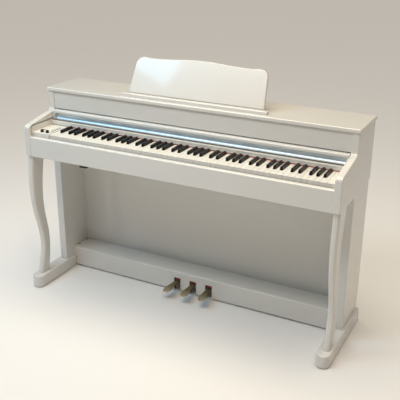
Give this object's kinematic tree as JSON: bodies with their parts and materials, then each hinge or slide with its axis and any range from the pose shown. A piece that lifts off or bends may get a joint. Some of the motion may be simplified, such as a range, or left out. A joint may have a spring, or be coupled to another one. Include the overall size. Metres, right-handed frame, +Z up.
{
  "type": "upright piano",
  "caption": "Upright home piano in a gloss white case: sliding key cover, folding music rest, full keyboard, brass pedals and curved front legs on sled feet.",
  "frame": {"origin": "on the floor, under the middle of the bounding box", "axes": "+X along the keyboard towards the treble, +Y from the player towards the back board, +Z up"},
  "size_m": [1.397, 0.4244, 1.0368],
  "materials": {
    "lacquer": "high-gloss ivory white lacquer on board",
    "natural_plastic": "polished ivory white",
    "sharp_plastic": "satin black",
    "brass": "lacquered brass",
    "steel": "plain",
    "dark_steel": "black zinc",
    "red_felt": "wool felt",
    "dark_felt": "wool felt",
    "trim_aluminium": "polished",
    "black_plastic": "moulded",
    "grey_plastic": "moulded",
    "glide_plastic": "hard felt-faced glide",
    "white_plastic": "moulded, painted to match the case",
    "pine": "waxed runner"
  },
  "bodies": {
    "cabinet": {"back_board": "lacquer", "control_block": "white_plastic", "cover_runners": "pine", "end_block": "white_plastic", "foot_left": "lacquer", "foot_right": "lacquer", "front_rail": "lacquer", "glides": "glide_plastic", "jack_box": "black_plastic", "key_felt": "red_felt", "key_frame": "steel", "key_strip": "white_plastic", "keybed": "lacquer", "knee_panel": "lacquer", "leg_left": "lacquer", "leg_right": "lacquer", "lid": "lacquer", "lower_side_left": "lacquer", "lower_side_right": "lacquer", "pedal_box_front": "lacquer", "pedal_box_shelf": "lacquer", "pedal_bracket": "dark_steel", "pedal_felts": "dark_felt", "pedal_pins": "steel", "power_inlet": "black_plastic", "rest_hinge_bases": "steel", "rest_ledge": "lacquer", "shelf_screws": "dark_steel", "side_left": "lacquer", "side_right": "lacquer", "speakers": "black_plastic", "upper_panel": "lacquer"},
    "cover": {"cover_board": "lacquer", "cover_lip": "lacquer", "cover_trim": "trim_aluminium", "cover_pins": "steel"},
    "music_rest": {"rest_board": "lacquer", "rest_hinge_leaves": "steel"},
    "knob_volume": {"knob_volume": "black_plastic"},
    "knob_tone": {"knob_tone": "black_plastic"},
    "button_power": {"button_power": "grey_plastic"},
    "button_1": {"button_1": "grey_plastic"},
    "button_2": {"button_2": "grey_plastic"},
    "button_3": {"button_3": "grey_plastic"},
    "button_4": {"button_4": "grey_plastic"},
    "pedal_left": {"pedal_left": "brass"},
    "pedal_middle": {"pedal_middle": "brass"},
    "pedal_right": {"pedal_right": "brass"},
    "naturals_bass": {"naturals_bass": "natural_plastic"},
    "sharps_bass": {"sharps_bass": "sharp_plastic"},
    "sharps_middle": {"sharps_middle": "sharp_plastic"},
    "naturals_treble": {"naturals_treble": "natural_plastic"},
    "sharps_treble": {"sharps_treble": "sharp_plastic"},
    "key_c4": {"key_c4": "natural_plastic"},
    "key_d4": {"key_d4": "natural_plastic"},
    "key_e4": {"key_e4": "natural_plastic"},
    "key_f4": {"key_f4": "natural_plastic"},
    "key_g4": {"key_g4": "natural_plastic"},
    "key_a4": {"key_a4": "natural_plastic"},
    "key_b4": {"key_b4": "natural_plastic"}
  },
  "joints": [
    {"name": "cover_slide", "type": "slide", "parent": "cabinet", "child": "cover", "axis": [0, -1, 0], "range_m": [0, 0.138]},
    {"name": "rest_fold", "type": "hinge", "parent": "cabinet", "child": "music_rest", "pos_m": [0, 0.05325, 0.8875], "axis": [-1, 0, 0], "range_deg": [0, 64]},
    {"name": "knob_volume_turn", "type": "hinge", "parent": "cabinet", "child": "knob_volume", "pos_m": [-0.62195, -0.14475, 0.7275], "axis": [0, 0, 1], "range_deg": [-140, 140]},
    {"name": "knob_tone_turn", "type": "hinge", "parent": "cabinet", "child": "knob_tone", "pos_m": [-0.59495, -0.14475, 0.7275], "axis": [0, 0, 1], "range_deg": [-140, 140]},
    {"name": "button_power_press", "type": "slide", "parent": "cabinet", "child": "button_power", "axis": [0, 0, -1], "range_m": [0, 0.0012], "stiffness_N_per_m": 150, "springref_m": -0.001},
    {"name": "button_1_press", "type": "slide", "parent": "cabinet", "child": "button_1", "axis": [0, 0, -1], "range_m": [0, 0.0012], "stiffness_N_per_m": 150, "springref_m": -0.001},
    {"name": "button_2_press", "type": "slide", "parent": "cabinet", "child": "button_2", "axis": [0, 0, -1], "range_m": [0, 0.0012], "stiffness_N_per_m": 150, "springref_m": -0.001},
    {"name": "button_3_press", "type": "slide", "parent": "cabinet", "child": "button_3", "axis": [0, 0, -1], "range_m": [0, 0.0012], "stiffness_N_per_m": 150, "springref_m": -0.001},
    {"name": "button_4_press", "type": "slide", "parent": "cabinet", "child": "button_4", "axis": [0, 0, -1], "range_m": [0, 0.0012], "stiffness_N_per_m": 150, "springref_m": -0.001},
    {"name": "pedal_left_press", "type": "hinge", "parent": "cabinet", "child": "pedal_left", "pos_m": [0, 0.11725, 0.046], "axis": [1, 0, 0], "range_deg": [0, 8], "stiffness_Nm_per_rad": 3, "springref_deg": -14.32},
    {"name": "pedal_middle_press", "type": "hinge", "parent": "cabinet", "child": "pedal_middle", "pos_m": [0, 0.11725, 0.046], "axis": [1, 0, 0], "range_deg": [0, 8], "stiffness_Nm_per_rad": 3, "springref_deg": -14.32},
    {"name": "pedal_right_press", "type": "hinge", "parent": "cabinet", "child": "pedal_right", "pos_m": [0, 0.11725, 0.046], "axis": [1, 0, 0], "range_deg": [0, 8], "stiffness_Nm_per_rad": 3, "springref_deg": -14.32},
    {"name": "naturals_bass_press", "type": "hinge", "parent": "cabinet", "child": "naturals_bass", "pos_m": [0, 0.06725, 0.705], "axis": [1, 0, 0], "range_deg": [0, 2.6], "stiffness_Nm_per_rad": 9, "springref_deg": -25.78},
    {"name": "naturals_treble_press", "type": "hinge", "parent": "cabinet", "child": "naturals_treble", "pos_m": [0, 0.06725, 0.705], "axis": [1, 0, 0], "range_deg": [0, 2.6], "stiffness_Nm_per_rad": 9, "springref_deg": -25.78},
    {"name": "sharps_bass_press", "type": "hinge", "parent": "cabinet", "child": "sharps_bass", "pos_m": [0, 0.06725, 0.705], "axis": [1, 0, 0], "range_deg": [0, 2.6], "stiffness_Nm_per_rad": 4.5, "springref_deg": -25.78},
    {"name": "sharps_treble_press", "type": "hinge", "parent": "cabinet", "child": "sharps_treble", "pos_m": [0, 0.06725, 0.705], "axis": [1, 0, 0], "range_deg": [0, 2.6], "stiffness_Nm_per_rad": 4.5, "springref_deg": -25.78},
    {"name": "sharps_middle_press", "type": "hinge", "parent": "cabinet", "child": "sharps_middle", "pos_m": [0, 0.06725, 0.705], "axis": [1, 0, 0], "range_deg": [0, 2.6], "stiffness_Nm_per_rad": 1.5, "springref_deg": -25.78},
    {"name": "key_c4_press", "type": "hinge", "parent": "cabinet", "child": "key_c4", "pos_m": [0, 0.06725, 0.705], "axis": [1, 0, 0], "range_deg": [0, 2.6], "stiffness_Nm_per_rad": 0.4, "springref_deg": -25.78},
    {"name": "key_d4_press", "type": "hinge", "parent": "cabinet", "child": "key_d4", "pos_m": [0, 0.06725, 0.705], "axis": [1, 0, 0], "range_deg": [0, 2.6], "stiffness_Nm_per_rad": 0.4, "springref_deg": -25.78},
    {"name": "key_e4_press", "type": "hinge", "parent": "cabinet", "child": "key_e4", "pos_m": [0, 0.06725, 0.705], "axis": [1, 0, 0], "range_deg": [0, 2.6], "stiffness_Nm_per_rad": 0.4, "springref_deg": -25.78},
    {"name": "key_f4_press", "type": "hinge", "parent": "cabinet", "child": "key_f4", "pos_m": [0, 0.06725, 0.705], "axis": [1, 0, 0], "range_deg": [0, 2.6], "stiffness_Nm_per_rad": 0.4, "springref_deg": -25.78},
    {"name": "key_g4_press", "type": "hinge", "parent": "cabinet", "child": "key_g4", "pos_m": [0, 0.06725, 0.705], "axis": [1, 0, 0], "range_deg": [0, 2.6], "stiffness_Nm_per_rad": 0.4, "springref_deg": -25.78},
    {"name": "key_a4_press", "type": "hinge", "parent": "cabinet", "child": "key_a4", "pos_m": [0, 0.06725, 0.705], "axis": [1, 0, 0], "range_deg": [0, 2.6], "stiffness_Nm_per_rad": 0.4, "springref_deg": -25.78},
    {"name": "key_b4_press", "type": "hinge", "parent": "cabinet", "child": "key_b4", "pos_m": [0, 0.06725, 0.705], "axis": [1, 0, 0], "range_deg": [0, 2.6], "stiffness_Nm_per_rad": 0.4, "springref_deg": -25.78}
  ]
}
